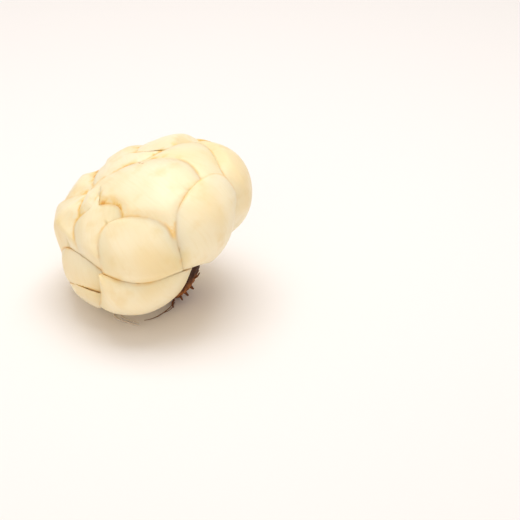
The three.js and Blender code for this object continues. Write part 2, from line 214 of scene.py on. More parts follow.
@dataclass(frozen=True)
class Lie:
    """Where the upright bulb is leaned and set down."""

    lean_deg: float = 34.0
    seat_height: float = 32.5
    middle_shift: float = -1.3

    def place(self, points: Array) -> Array:
        """Takes points of the upright bulb to where they lie.

        Args:
            points: places in the upright bulb.

        Returns:
            Places over the surface that the bulb rests on.
        """
        c, s = math.cos(math.radians(self.lean_deg)), math.sin(math.radians(self.lean_deg))
        x = c * points[:, 0] - s * points[:, 2] + self.middle_shift
        z = s * points[:, 0] + c * points[:, 2] + self.seat_height
        return np.stack([x, points[:, 1], z], axis=1)

    def settle(self, points: Array) -> Array:
        """Presses flat what would reach under the surface that the bulb rests on."""
        settled = points.copy()
        settled[:, 2] = np.maximum(settled[:, 2], 0)
        return settled


@dataclass(frozen=True)
class Skin:
    """An egg-flat skin that scales follow."""

    radius: float
    pole: float
    plan_radius: float = 38.0

    def over(self, direction: Array, height: Array) -> Array:
        """Finds points over the skin.

        Args:
            direction: unit vectors from the bulb's middle.
            height: how far over the skin.

        Returns:
            Places in the upright bulb.
        """
        size = np.array([self.radius, self.radius, self.pole])
        return direction * size + unit(direction / size) * height[:, None]

    def flat(self, degrees: Array) -> Array:
        """Turns degrees on the skin into millimetres along it."""
        return np.radians(degrees) * self.plan_radius


# ---- Scales ---------------------------------------------------------------------------------------


@dataclass(frozen=True)
class ScaleShape:
    """One scale's place and outline. Angles in degrees, heights in millimetres.

    az is the side of the bulb it grows on, foot and tip are polar angles from the base, and lean is
    how far the tip swings sideways. left and right are half-widths at even steps from foot to tip,
    blunt is how square the tip is, lift the height of the margins over the skin and crown how far the
    middle swells over them.
    """

    az: float
    foot: float
    tip: float
    lean: float
    left: tuple[float, ...]
    right: tuple[float, ...]
    blunt: float
    lift: tuple[float, ...]
    crown: float
    thick: float
    beak: float = 0.0


def even(*values: float) -> tuple[float, ...]:
    """Names a run of values at even steps."""
    return values


OUTER_SHAPES = (
    ScaleShape(-105, 11, 108, -11, even(8, 17, 28, 27, 12, 2), even(8, 20, 28.5, 29.5, 12, 2), 20,
               even(-7.5, -5.2, -0.6, -0.3), 6, 4),
    ScaleShape(-150, 11, 98, 0, even(8, 16, 24, 28, 26, 20), even(8, 18, 26, 30, 30, 26), 7,
               even(-1, -1, -2.5, -3), 1.6, 4),
    ScaleShape(156, 11, 108, 3, even(8, 16, 27, 32, 26, 10), even(8, 16, 26, 28, 22, 9), 12,
               even(0, -0.6, -1.8, -1.6), 2.2, 4),
    ScaleShape(50, 11, 106, -4, even(8, 15, 25, 28, 24, 12), even(8, 16, 28, 31, 26, 12), 12,
               even(0, 0, 0, 0), 2.8, 4),
    ScaleShape(102, 11, 121, 4, even(8, 14, 24, 28, 26, 14), even(8, 14, 24, 28, 26, 14), 12,
               even(0, 0, 0, -0.4), 2.8, 4),
    ScaleShape(-88, 11, 139, -10, even(7, 12, 20, 22, 20, 14), even(7, 6, 9, 19.5, 27, 25), 8,
               even(-2, -1, -0.6, -0.2), 3, 4.2),
    ScaleShape(-46, 11, 118, 3, even(7, 20, 32, 32, 26, 22), even(7, 11, 17, 24, 25, 26), 14,
               even(-6.5, -4.6, -1.4, 0), 3.2, 4.2),
    ScaleShape(-150, 11, 128.5, -2, even(7, 14, 26, 32, 31, 24), even(7, 14, 28, 38, 38, 30), 10,
               even(-3, -3.2, -4.2, -3), 1.5, 4),
    ScaleShape(-116, 12, 155, -1, even(7, 10, 18, 22, 14, 24), even(7, 10, 16, 18, 19, 22), 20,
               even(-2, -1.2, -1, -1), 2, 3.8, 7),
    ScaleShape(-62, 12, 181, -14, even(7, 12, 22, 30, 30, 22), even(7, 12, 22, 33, 38, 13), 24,
               even(-3, -2.4, -1.9, -1.6, -1.1, -0.1), 2.6, 4),
    ScaleShape(128, 12, 141, -4, even(7, 12, 22, 28, 25, 12), even(7, 12, 22, 28, 25, 12), 10,
               even(-2, -1.2, -0.6, 0), 2.6, 3.8),
    ScaleShape(-170, 12, 165, 0, even(7, 11, 17, 24, 28, 31, 17, 1), even(7, 12, 24, 34, 34, 16), 20,
               even(-2, -3, -4, -5, -5.6, -3, 3, -2), 1.2, 3.8),
    ScaleShape(-30, 12, 162, 3, even(7, 10, 18, 24, 24, 12), even(7, 8, 8, 15, 42, 6), 20,
               even(-3, -2, -3, -1.8), 2.2, 3.8),
    ScaleShape(8, 12, 132, 4, even(7, 14, 30, 37, 28, 12), even(7, 12, 24, 30, 27, 14), 10,
               even(-2, -0.8, -1.2, -4), 2.8, 4),
    ScaleShape(45, 12, 158, 0, even(7, 14, 26, 32, 30, 24), even(7, 10, 18, 23, 19, 5), 20,
               even(-3, -2.2, -2.2, -2, -1.7, -2.2), 2, 3.8),
    ScaleShape(98, 12, 188, 0, even(7, 12, 22, 34, 43, 56), even(7, 9, 12, 14, 7, 17), 22,
               even(-3, -2.6, -2.6, -2.4, -1.2, -1.0), 1.6, 3.8),
    ScaleShape(72, 12, 150, 2, even(7, 10, 20, 26, 24, 12), even(7, 10, 20, 26, 24, 12), 10,
               even(-3, -2, -1.4, -1.8), 2.4, 3.8),
    ScaleShape(145, 12, 181, 0, even(7, 10, 20, 30, 30, 24), even(7, 10, 20, 28, 28, 20), 14,
               even(-3, -2.6, -2, -1, 0.4, 2.8), 2.4, 3.8),
    ScaleShape(-128, 11, 176, 0, even(6, 9, 16, 24, 24, 16), even(6, 9, 16, 24, 24, 16), 14,
               even(-4, -5, -4, -3), 1.6, 3.4),
    ScaleShape(20, 11, 178, 0, even(6, 9, 16, 24, 26, 20), even(6, 9, 16, 24, 26, 20), 14,
               even(-4, -5, -4.6, -4), 1.6, 3.4),
)


@dataclass
class FleshyScale:
    """One scale: a closed lens of flesh that gives way to the scales lying over it."""

    name: str
    shape: ScaleShape
    skin: Skin
    lying_over: list["FleshyScale"]
    number: int
    ring: int = 144
    rows: int = 112
    margin: float = 0.14
    nest_gap: float = 0.04
    valley_slope: float = 0.36
    valley_curve: float = 0.045
    valley_rounding: float = 0.8
    outline_steps: int = 41
    grid_steps: int = 56
    reach: float = 11.0
    outline: Array = field(init=False)
    surface: Array = field(init=False)

    def __post_init__(self) -> None:
        """Works out the outline and the outer face once."""
        self.outline = self.make_outline()
        self.surface = self.make_surface()

    def half_width(self, s: Array, side: Array) -> Array:
        """Reads the half-width in degrees.

        Args:
            s: 0 at the foot, 1 at the tip.
            side: negative on the left, positive on the right.

        Returns:
            The half-width on that side, closed off round the tip and a little uneven.
        """
        width = np.where(side < 0, along(self.shape.left, s), along(self.shape.right, s))
        turn = self.number * 1.7 + np.where(side < 0, 0.0, 2.1)
        uneven = 0.45 * np.sin(16 * s + turn) + 0.25 * np.sin(37 * s + 2.3 * turn)
        width = width + uneven * np.clip(6 * s * (1 - s), 0, 1)
        return np.maximum(width, 0.5) * np.sqrt(np.maximum(1 - s**self.shape.blunt, 0))

    def angles(self, s: Array, u: Array) -> tuple[Array, Array]:
        """Turns the scale's own coordinates into its polar and sideways angles in degrees."""
        sideways = u * self.half_width(s, u)
        beak = self.shape.beak * s**24 * np.exp(-np.abs(sideways / 1.7) ** 1.5)
        polar = self.shape.foot + (self.shape.tip - self.shape.foot) * s + beak
        return polar, self.shape.lean * s * s + sideways

    def direction(self, s: Array, u: Array) -> Array:
        """Finds the unit vectors from the bulb's middle to points of the scale.

        Args:
            s: 0 at the foot, 1 at the tip.
            u: -1 at the left margin, 1 at the right one.

        Returns:
            One vector for each point.
        """
        polar_deg, side_deg = self.angles(s, u)
        az, polar, side = math.radians(self.shape.az), np.radians(polar_deg), np.radians(side_deg)
        outwards = np.cos(side) * np.sin(polar)
        sideways = np.sin(side)
        x = outwards * math.cos(az) - sideways * math.sin(az)
        y = outwards * math.sin(az) + sideways * math.cos(az)
        return np.stack([x, y, -np.cos(side) * np.cos(polar)], axis=1)

    def make_outline(self) -> Array:
        """Draws the outline flat, in millimetres along the skin, as a closed ring."""
        s = 1 - (1 - np.linspace(0, 1, self.outline_steps)) ** 2
        sides = []
        for u in (-1.0, 1.0):
            polar, side = self.angles(s, np.full_like(s, u))
            flat = np.stack([self.skin.flat(side), self.skin.flat(polar)], axis=1)
            sides.append(flat if u < 0 else flat[::-1])
        return np.concatenate(sides)

    def beyond_outline(self, flat: Array) -> Array:
        """Measures how far points lie outside the outline, negative inside it.

        Args:
            flat: points on the scale's own plan, in millimetres.

        Returns:
            One distance for each point.
        """
        a, b = self.outline, np.roll(self.outline, -1, axis=0)
        ab = b - a
        length = np.maximum((ab**2).sum(axis=1), 1e-12)
        px, py = flat[:, :1], flat[:, 1:]
        f = np.clip(((px - a[:, 0]) * ab[:, 0] + (py - a[:, 1]) * ab[:, 1]) / length, 0, 1)
        away = np.hypot(px - a[:, 0] - f * ab[:, 0], py - a[:, 1] - f * ab[:, 1]).min(axis=1)
        crosses = (a[:, 1] > py) != (b[:, 1] > py)
        rise = np.where(np.abs(ab[:, 1]) < 1e-12, 1e-12, ab[:, 1])
        left_of = px < a[:, 0] + (py - a[:, 1]) / rise * ab[:, 0]
        inside = (crosses & left_of).sum(axis=1) % 2 == 1
        return np.where(inside, -away, away)

    def locate(self, direction: Array) -> tuple[Array, Array, Array]:
        """Finds where directions fall on this scale's own angles.

        Args:
            direction: unit vectors from the bulb's middle.

        Returns:
            Polar and sideways angles in degrees, and whether each is near enough to matter.
        """
        az = math.radians(self.shape.az)
        outwards = direction[:, 0] * math.cos(az) + direction[:, 1] * math.sin(az)
        sideways = -direction[:, 0] * math.sin(az) + direction[:, 1] * math.cos(az)
        polar = np.degrees(np.arctan2(outwards, -direction[:, 2]))
        polar = np.where(polar < -90, polar + 360, polar)
        side = np.degrees(np.arcsin(np.clip(sideways, -1, 1)))
        low, high = self.outline.min(axis=0) - self.reach, self.outline.max(axis=0) + self.reach
        x, y = self.skin.flat(side), self.skin.flat(polar)
        near = (x > low[0]) & (x < high[0]) & (y > low[1]) & (y < high[1])
        return polar, side, near

    def cover(self, polar: Array, side: Array) -> tuple[Array, Array]:
        """Reads how this scale covers places near it.

        Args:
            polar: polar angles in degrees.
            side: sideways angles in degrees.

        Returns:
            The height under its hollow side, and the distance beyond its outline.
        """
        s = np.clip((polar - self.shape.foot) / (self.shape.tip - self.shape.foot), 0, 1)
        offset = side - self.shape.lean * s * s
        u = np.clip(offset / np.maximum(self.half_width(s, offset), 0.5), -1, 1)
        beyond = self.beyond_outline(np.stack([self.skin.flat(side), self.skin.flat(polar)], axis=1))
        return self.read_surface(s, u) - self.thickness(s, u) - self.nest_gap, beyond

    def free_height(self, s: Array, u: Array) -> Array:
        """Reads the outer face's height before the scales over it press it in."""
        swell = np.sin(np.pi * s**0.85).clip(0) ** 0.8 * (1 - u * u) * (1 - 0.25 * u * u)
        turn = self.number * 2.4
        uneven = 0.42 * np.sin(5.2 * s + turn) * np.sin(3.4 * u + 1.3 * turn)
        uneven = uneven + 0.2 * np.sin(11 * s - turn) * np.cos(5.5 * u + turn)
        return along(self.shape.lift, s) + self.shape.crown * swell + uneven * (1 - u * u)

    def thickness(self, s: Array, u: Array) -> Array:
        """Reads the flesh's thickness, which thins out to the margin."""
        body = self.shape.thick * (0.5 + 0.5 * np.sin(np.pi * np.minimum(s * 1.1, 1)))
        return self.margin + np.maximum(body - self.margin, 0) * (1 - u * u)

    def press(self, direction: Array, height: Array) -> tuple[Array, Array]:
        """Presses heights in under the scales that lie over this one.

        Args:
            direction: unit vectors from the bulb's middle.
            height: the free height at each.

        Returns:
            The pressed heights, and how far each point lies beyond the nearest outline over it.
        """
        nearest = np.full(len(height), FAR_MM)
        for over in self.lying_over:
            polar, side, near = over.locate(direction)
            if not near.any():
                continue
            ceiling, beyond = over.cover(polar[near], side[near])
            outside = np.maximum(beyond, 0)
            ceiling = ceiling + outside * (self.valley_slope + self.valley_curve * outside)
            height[near] = soft_min(height[near], ceiling, self.valley_rounding)
            nearest[near] = np.minimum(nearest[near], beyond)
        return height, nearest

    def make_surface(self) -> Array:
        """Works out the outer face on an even grid, for the scales underneath to read."""
        steps = self.grid_steps
        s, u = np.meshgrid(np.linspace(0, 1, steps + 1), np.linspace(-1, 1, steps + 1), indexing="ij")
        s, u = s.ravel(), u.ravel()
        height, _ = self.press(self.direction(s, u), self.free_height(s, u))
        return height.reshape(steps + 1, steps + 1)

    def read_surface(self, s: Array, u: Array) -> Array:
        """Reads the outer face's height between the points of its grid."""
        a, b = np.clip(s, 0, 1) * self.grid_steps, np.clip((u + 1) / 2, 0, 1) * self.grid_steps
        i = np.minimum(a.astype(int), self.grid_steps - 1)
        j = np.minimum(b.astype(int), self.grid_steps - 1)
        f, g = a - i, b - j
        grid = self.surface
        low = grid[i, j] * (1 - g) + grid[i, j + 1] * g
        high = grid[i + 1, j] * (1 - g) + grid[i + 1, j + 1] * g
        return low * (1 - f) + high * f

    def build(self, lie: Lie) -> bpy.types.Object:
        """Shapes a sphere into the scale.

        Args:
            lie: how the bulb lies.

        Returns:
            The piece, with the numbers that its material reads.
        """
        obj = new_sphere(f"{self.name}_flesh", self.ring, self.rows)
        ball = read_points(obj)
        s = (1 - ball[:, 2]) / 2
        around = np.hypot(ball[:, 0], ball[:, 1])
        at_pole = around < 1e-5
        u = np.where(at_pole, 0, ball[:, 0] / np.maximum(around, 1e-9))
        w = np.where(at_pole, 0, ball[:, 1] / np.maximum(around, 1e-9))
        direction = self.direction(s, u)
        outer, valley = self.press(direction, self.free_height(s, u))
        half = self.thickness(s, u) / 2
        height = outer - half + half * np.sign(w) * np.abs(w) ** 0.6
        upright = self.skin.over(direction, height)
        write_points(obj, lie.settle(lie.place(upright)))
        polar, side = self.angles(s, u)
        flat = np.stack([self.skin.flat(side), self.skin.flat(polar)], axis=1)
        write_flat_map(obj, flat)
        write_attribute(obj, "from_margin", -self.beyond_outline(flat))
        write_attribute(obj, "from_overlap", np.where(w >= 0, valley, FAR_MM))
        return obj


@dataclass
class Whorl:
    """A run of scales, outermost first."""

    word: str
    skin: Skin
    shapes: tuple[ScaleShape, ...]
    slot: str
    ring: int = 144
    rows: int = 112

    def build(self, lie: Lie, material: bpy.types.Material) -> None:
        """Builds and dresses every scale.

        Args:
            lie: how the bulb lies.
            material: the flesh.
        """
        laid: list[FleshyScale] = []
        ring, rows = ((self.ring, self.rows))
        for i, shape in enumerate(self.shapes):
            name = f"{self.word}_{i + 1:02d}"
            scale = FleshyScale(name, shape, self.skin, list(laid), i + 1, ring, rows)
            laid.append(scale)
            obj = scale.build(lie)
            dress(obj, material, name)


@dataclass
class Heart:
    """The small scales and the bud inside, which only show when outer scales are taken off."""

    skin: Skin = Skin(25.5, 13.5)
    count: int = 6
    turn_deg: float = 137.5
    bud_radius: float = 8.5
    bud_height: float = 17.0
    bud_foot: float = -10.8

    def shapes(self) -> tuple[ScaleShape, ...]:
        """Lists the inner scales, each a fixed turn on from the last."""
        wide = even(9, 16, 26, 32, 28, 8)
        flat = even(0, 0, 0, 0)
        return tuple(
            ScaleShape(i * self.turn_deg, 17, 166, 6, wide, wide, 8, flat, 0.8, 4.0)
            for i in range(self.count)
        )

    def build(self, lie: Lie, material: bpy.types.Material) -> None:
        """Builds and dresses the inner scales and the bud.

        Args:
            lie: how the bulb lies.
            material: the pale flesh.
        """
        Whorl("inner_scale", self.skin, self.shapes(), "heart", 48, 36).build(lie, material)
        bud = new_sphere("central_bud_flesh", 48, 36)
        ball = read_points(bud)
        t = np.arccos(np.clip(-ball[:, 2], -1, 1)) / np.pi
        radius = self.bud_radius * np.sin(np.pi * t).clip(0) ** 0.9 * (1 - 0.35 * t)
        turn = np.arctan2(ball[:, 1], ball[:, 0])
        height = self.bud_foot + self.bud_height * (1 - np.cos(np.pi * t)) / 2
        upright = np.stack([radius * np.cos(turn), radius * np.sin(turn), height], axis=1)
        write_points(bud, lie.place(upright))
        write_flat_map(bud, np.stack([turn * self.bud_radius, height], axis=1))
        for distance in ("from_margin", "from_overlap"):
            write_attribute(bud, distance, np.full(len(ball), FAR_MM))
        dress(bud, material, "central_bud")


# ---- Basal plate and roots ------------------------------------------------------------------------


PLATE_UNDERSIDE = -30.2
SKEW_FROM = -22.0
SKEW = (-0.8, -0.54)


def skewed(x: Array, y: Array, height: Array) -> Array:
    """Finds where points of an even plate lie on this one, whose lower part grew askew."""
    below = np.maximum(SKEW_FROM - height, 0)
    return np.stack([x + SKEW[0] * below, y + SKEW[1] * below, height], axis=1)


@dataclass
class BasalPlate:
    """The hard disc of stem that scales and roots grow from, corky and scarred."""

    radii: tuple[float, ...] = (0, 4, 6.4, 8.2, 9.6, 10.8, 11, 10.4, 8, 0)
    heights: tuple[float, ...] = (-30, -30.2, -29.9, -28.8, -26.6, -23.4, -20, -16.4, -12.8, -11.2)
    cork_depth: float = 0.45
    cork_from: float = 6.0
    map_radius: float = 10.0
    ring: int = 160
    rows: int = 120

    def build(self, lie: Lie, material: bpy.types.Material) -> None:
        """Shapes a sphere into the plate, with cork ridges and root scars, and dresses it.

        Args:
            lie: how the bulb lies.
            material: the cork.
        """
        obj = new_sphere("basal_plate_cork", self.ring, self.rows)
        ball = read_points(obj)
        t = np.arccos(np.clip(-ball[:, 2], -1, 1)) / np.pi
        turn = np.arctan2(ball[:, 1], ball[:, 0])
        radius, height = along(self.radii, t).clip(0), along(self.heights, t)
        cork = 0.5 + 0.5 * np.sin(7 * turn + 3 * np.sin(2 * turn) + 0.8 * height)
        cork = cork + 0.6 * np.sin(19 * turn + 2.1 * height) * np.sin(2.7 * height + 4 * turn)
        sunk = self.cork_depth * cork * np.clip(radius / self.cork_from, 0, 1)
        radius = np.maximum(radius - sunk, 0)
        upright = skewed(radius * np.cos(turn), radius * np.sin(turn), height)
        write_points(obj, lie.settle(lie.place(upright)))
        write_flat_map(obj, np.stack([turn * self.map_radius, height], axis=1))
        dress(obj, material, "basal_plate")


@dataclass(frozen=True)
class RootStub:
    """A trimmed root: the side it grows on, distance from the middle, length, splay, thickness."""

    az: float
    ring: float
    length: float
    splay: float
    thick: float
    inside: float = 0.6
    past_end: float = 0.35

    def line(self, lie: Lie, t: Array) -> Array:
        """Follows the stub's middle line, which starts a little inside the plate."""
        az, splay = math.radians(self.az), math.radians(self.splay)
        out = self.ring + self.length * t * math.sin(splay)
        down = self.inside - (self.length + self.inside + self.past_end) * t * math.cos(splay)
        middle = skewed(np.zeros_like(t), np.zeros_like(t), np.full_like(t, PLATE_UNDERSIDE))
        return lie.place(middle + np.stack([out * math.cos(az), out * math.sin(az), down], axis=1))


@dataclass(frozen=True)
class BentRoot:
    """A root that was left on: its thickness, its length and the points that it runs through."""

    thick: float
    length: float
    points: tuple[tuple[float, float, float], ...]
    az: float = 0.0

    def line(self, lie: Lie, t: Array) -> Array:
        """Follows the root's middle line, and straight on past its ends."""
        columns = [tuple(point[k] for point in self.points) for k in range(3)]
        inside = np.clip(t, 0, 1)
        here = np.stack([along(column, inside) for column in columns], axis=1)
        ahead = np.stack([along(column, inside + 1e-3) - along(column, inside - 1e-3)
                          for column in columns], axis=1)
        return here + unit(ahead) * ((t - inside) * self.length)[:, None]


ROOT_STUBS = (
    RootStub(-88, 5.6, 1.8, 40, 1.2),
    RootStub(-60, 4.2, 2.2, 30, 1.5),
    RootStub(-30, 5.6, 1.8, 40, 1.2),
    RootStub(4, 3.8, 2.4, 24, 1.5),
    RootStub(34, 5.8, 2.4, 40, 1.3),
    RootStub(66, 4.2, 4.8, 28, 1.6),
    RootStub(96, 5.8, 4.4, 36, 1.3),
    RootStub(126, 3.6, 2.5, 24, 1.6),
    RootStub(170, 1.6, 2.7, 14, 1.4),
    RootStub(-150, 4.2, 1.5, 10, 1.4),
)
# Two lie under the bulb and hook back out in front.
LYING_ROOTS = (
    BentRoot(0.9, 42, ((4, -10.4, 1.4), (0.4, -11.4, 0.7), (-4.6, -12.9, 0.5), (-10, -14.6, 0.5),
                       (-13.4, -16.8, 0.5), (-13, -20, 0.5), (-10, -22.8, 0.5), (-6.5, -25, 0.5)), 20),
    BentRoot(0.9, 46, ((3.4, -8.6, 1.3), (-0.6, -9.6, 0.7), (-6, -11.2, 0.5), (-11.5, -13, 0.5),
                       (-15.6, -15.6, 0.5), (-16, -19.5, 0.5), (-12.5, -23.2, 0.5),
                       (-6.5, -27, 0.5)), 70),
)
# Short ends at the plate's rim: one low on the near side, one further up on the right.
SIDE_ROOTS = (
    BentRoot(1.0, 3, ((7.6, -11.2, 2.6), (7, -12.2, 1.6), (7.4, -13.4, 0.8)), 40),
    BentRoot(0.9, 5, ((16, -10, 11.9), (17.2, -10.8, 13.3), (18.2, -11.4, 15.2)), 10),
)
# Thin dry strands, rubbed off the outermost scales, that hang from the rim to the surface.
RIM_STRANDS = (
    BentRoot(0.4, 18, ((7.4, -12.4, 2.0), (5.6, -14.6, 1.1), (2.4, -18.2, 0.5), (-0.9, -21.2, 0.4),
                        (-4.4, -22.7, 0.4)), 15),
    BentRoot(0.3, 14, ((8.0, -12.0, 2.4), (6.4, -15.0, 1.0), (3.4, -17.0, 0.4), (0.8, -20.2, 0.4)), 55),
)


@dataclass
class RootTuft:
    """A run of dry roots under the plate, shaped from spheres."""

    shapes: tuple[RootStub | BentRoot, ...]
    first_number: int
    word: str = "root"
    stands_for_nodes: bool = True
    taper: float = 0.35
    blunt: float = 0.2
    wrinkle: float = 0.12
    pinch: float = 0.1
    step: float = 0.01
    ring: int = 20
    rows: int = 96

    def radius(self, shape: RootStub | BentRoot, t: Array) -> Array:
        """Reads a root's radius, which thins towards its end."""
        return shape.thick / 2 * (1 - self.taper * t)

    def build(self, lie: Lie, material: bpy.types.Material) -> None:
        """Builds and dresses every root.

        Args:
            lie: how the bulb lies.
            material: what they are dressed in.
        """
        for i, shape in enumerate(self.shapes):
            name = f"{self.word}_{self.first_number + i:02d}"
            obj = new_sphere(f"{name}_fibre", self.ring, self.rows)
            ball = read_points(obj)
            t = (1 - ball[:, 2]) / 2
            turn = np.arctan2(ball[:, 1], ball[:, 0])
            ahead = unit(shape.line(lie, t + self.step) - shape.line(lie, t - self.step))
            side = unit(np.cross(np.array([0.0, 0.0, 1.0]), ahead))
            up = np.cross(ahead, side)
            # Lumps and rings about 3 mm apart, where the root shrank as it dried.
            lump = np.sin(3 * turn + shape.az) * np.sin(shape.length * 1.9 * t)
            shrunk = 1 + self.wrinkle * lump
            shrunk = shrunk - self.pinch * np.abs(np.sin(shape.length * 1.1 * t + shape.az))
            rounded = np.sqrt((1 - ball[:, 2] ** 2).clip(0)) ** self.blunt
            radius = self.radius(shape, t) * rounded * shrunk
            points = shape.line(lie, t) + side * (radius * np.cos(turn))[:, None]
            points = points + up * (radius * np.sin(turn))[:, None]
            write_points(obj, lie.settle(points))
            write_flat_map(obj, np.stack([turn * shape.thick / 2, t * shape.length], axis=1))
            dress(obj, material, name if self.stands_for_nodes else None)


@dataclass
class DryFringe:
    """Dry fibres on the plate's side and rim, where old roots and outer scales were rubbed off."""

    count: int = 24
    turn_deg: float = 137.5
    ring: float = 8.6
    high: float = -27.6
    low: float = -29.6
    drawn_in: float = 2.2
    shortest: float = 0.6
    length_spread: float = 0.7
    splay_from: float = -10
    splay_spread: float = 28
    bend: float = 0.7
    thick: float = 0.32
    taper: float = 0.6
    sides: int = 6
    rows: int = 10

    def fibre(self, i: int, lie: Lie) -> bpy.types.Object:
        """Shapes one fibre.

        Args:
            i: its number, which gives its place, length and bend.
            lie: how the bulb lies.

        Returns:
            The fibre.
        """
        az = math.radians(i * self.turn_deg)
        # Fixed shares of the number spread places, lengths and splays, with nothing random.
        part = (i * 0.382) % 1
        foot = self.high + (self.low - self.high) * part
        ring = self.ring - self.drawn_in * part
        length = self.shortest + self.length_spread * ((i * 0.618) % 1)
        splay = math.radians(self.splay_from + self.splay_spread * ((i * 0.271) % 1))
        bend = self.bend * math.sin(2.4 * i)
        obj = new_sphere(f"dry_fibre_{i + 1:03d}", self.sides, self.rows)
        ball = read_points(obj)
        t = (1 - ball[:, 2]) / 2
        out = ring + length * math.sin(splay) * t
        across = bend * t * t
        rounded = np.sqrt((1 - ball[:, 2] ** 2).clip(0)) ** 0.4
        radius = self.thick / 2 * (1 - self.taper * t) * rounded
        turn = np.arctan2(ball[:, 1], ball[:, 0])
        out, across = out + radius * np.cos(turn), across + radius * np.sin(turn)
        middle = skewed(np.zeros_like(t), np.zeros_like(t), np.full_like(t, foot))
        down = -length * math.cos(splay) * t
        upright = middle + np.stack([out * math.cos(az) - across * math.sin(az),
                                     out * math.sin(az) + across * math.cos(az), down], axis=1)
        write_points(obj, lie.settle(lie.place(upright)))
        write_flat_map(obj, np.stack([turn * self.thick / 2, t * length + i], axis=1))
        return obj

    def build(self, lie: Lie, material: bpy.types.Material) -> None:
        """Builds the fibres and joins them into one piece.

        Args:
            lie: how the bulb lies.
            material: the dry root.
        """
        fibres = [self.fibre(i, lie) for i in range(self.count)]
        bpy.ops.object.select_all(action="DESELECT")
        for obj in fibres:
            obj.select_set(True)
        bpy.context.view_layer.objects.active = fibres[0]
        bpy.ops.object.join()
        fringe = bpy.context.object
        fringe.name = "dry_fringe"
        dress(fringe, material)


# ---- Finishes -------------------------------------------------------------------------------------


Socket = bpy.types.NodeSocket
SMOOTH = {"interpolation_type": "SMOOTHSTEP"}


def add_node(tree: bpy.types.NodeTree, kind: str,
             settings: dict[str | int, object]) -> bpy.types.Node:
    """Adds a shader node with its settings and links.

    Args:
        tree: the material's node tree.
        kind: the node's type.
        settings: properties by name, and inputs by their name or place. An input that is given a
            socket is linked to it.

    Returns:
        The node.
    """
    node = tree.nodes.new(kind)
    for key, value in settings.items():
        if isinstance(value, Socket):
            tree.links.new(value, node.inputs[key])
        elif isinstance(key, int) or key in node.inputs:
            node.inputs[key].default_value = value
        else:
            setattr(node, key, value)
    return node


def new_material(name: str) -> tuple[bpy.types.Material, bpy.types.NodeTree]:
    """Makes a material with an empty node tree, and returns both."""
    material = bpy.data.materials.new(name)
    material.use_nodes = True
    material.node_tree.nodes.clear()
    return material, material.node_tree


def product(tree: bpy.types.NodeTree, *factors: object) -> Socket:
    """Multiplies amounts together.

    Args:
        tree: the material's node tree.
        factors: two or more sockets or numbers.

    Returns:
        The product's socket.
    """
    result = factors[0]
    for factor in factors[1:]:
        settings = {"operation": "MULTIPLY", 0: result, 1: factor}
        result = add_node(tree, "ShaderNodeMath", settings).outputs[0]
    return result


def total(tree: bpy.types.NodeTree, *parts: object) -> Socket:
    """Adds amounts up.

    Args:
        tree: the material's node tree.
        parts: two or more sockets or numbers.

    Returns:
        The sum's socket.
    """
    result = parts[0]
    for part in parts[1:]:
        settings = {"operation": "ADD", 0: result, 1: part}
        result = add_node(tree, "ShaderNodeMath", settings).outputs[0]
    return result


def paint(tree: bpy.types.NodeTree, ground: str, layers: list[tuple[Socket, str]]) -> Socket:
    """Lays colours over a ground, one over another.

    Args:
        tree: the material's node tree.
        ground: the lowest colour, as an sRGB hex value.
        layers: how much of each colour shows and which it is, the lowest first.

    Returns:
        The painted colour's socket.
    """
    colour = linear(ground)
    for amount, layer in layers:
        settings = {"data_type": "RGBA", 0: amount, 6: colour, 7: linear(layer)}
        colour = add_node(tree, "ShaderNodeMix", settings).outputs[2]
    return colour


def patches(tree: bpy.types.NodeTree, place: Socket, size_mm: float, detail: float,
            low: float, high: float, most: float = 1.0) -> Socket:
    """Scatters soft random patches.

    Args:
        tree: the material's node tree.
        place: the coordinates' socket, in metres.
        size_mm: about how large a patch is.
        detail: how many finer layers the pattern has.
        low: the pattern's value, 0.5 on average, at a patch's edge.
        high: its value where a patch is full.
        most: the amount in a full patch.

    Returns:
        The amount's socket.
    """
    settings = {"Vector": place, "Scale": 1 / (size_mm * MM), "Detail": detail}
    pattern = add_node(tree, "ShaderNodeTexNoise", settings).outputs[0]
    settings = SMOOTH | {"Value": pattern, "From Min": low, "From Max": high, "To Max": most}
    return add_node(tree, "ShaderNodeMapRange", settings).outputs[0]


def streaks(tree: bpy.types.NodeTree, flat: Socket, per_mm: float, squeeze: float,
            detail: float) -> Socket:
    """Draws random streaks that run lengthwise over a piece.

    Args:
        tree: the material's node tree.
        flat: the socket of the piece's flat map, in millimetres.
        per_mm: about how many streaks lie across a millimetre.
        squeeze: their width as a share of their length.
        detail: how many finer layers the pattern has.

    Returns:
        The pattern's socket, 0.5 on average.
    """
    stretched = add_node(tree, "ShaderNodeMapping", {"Vector": flat, "Scale": (1.0, squeeze, 1.0)})
    settings = {"Vector": stretched.outputs[0], "Scale": per_mm, "Detail": detail}
    return add_node(tree, "ShaderNodeTexNoise", settings).outputs[0]


def near(tree: bpy.types.NodeTree, attribute: str, full_mm: float, none_mm: float) -> Socket:
    """Reads how near the surface is to a margin.

    Args:
        tree: the material's node tree.
        attribute: the stored distance from the margin, in millimetres.
        full_mm: the distance up to which the amount is 1.
        none_mm: the distance from which it is 0.

    Returns:
        The amount's socket.
    """
    away = add_node(tree, "ShaderNodeAttribute", {"attribute_name": attribute}).outputs["Fac"]
    settings = SMOOTH | {"Value": away, "From Min": full_mm, "From Max": none_mm,
                         "To Min": 1.0, "To Max": 0.0}
    return add_node(tree, "ShaderNodeMapRange", settings).outputs[0]


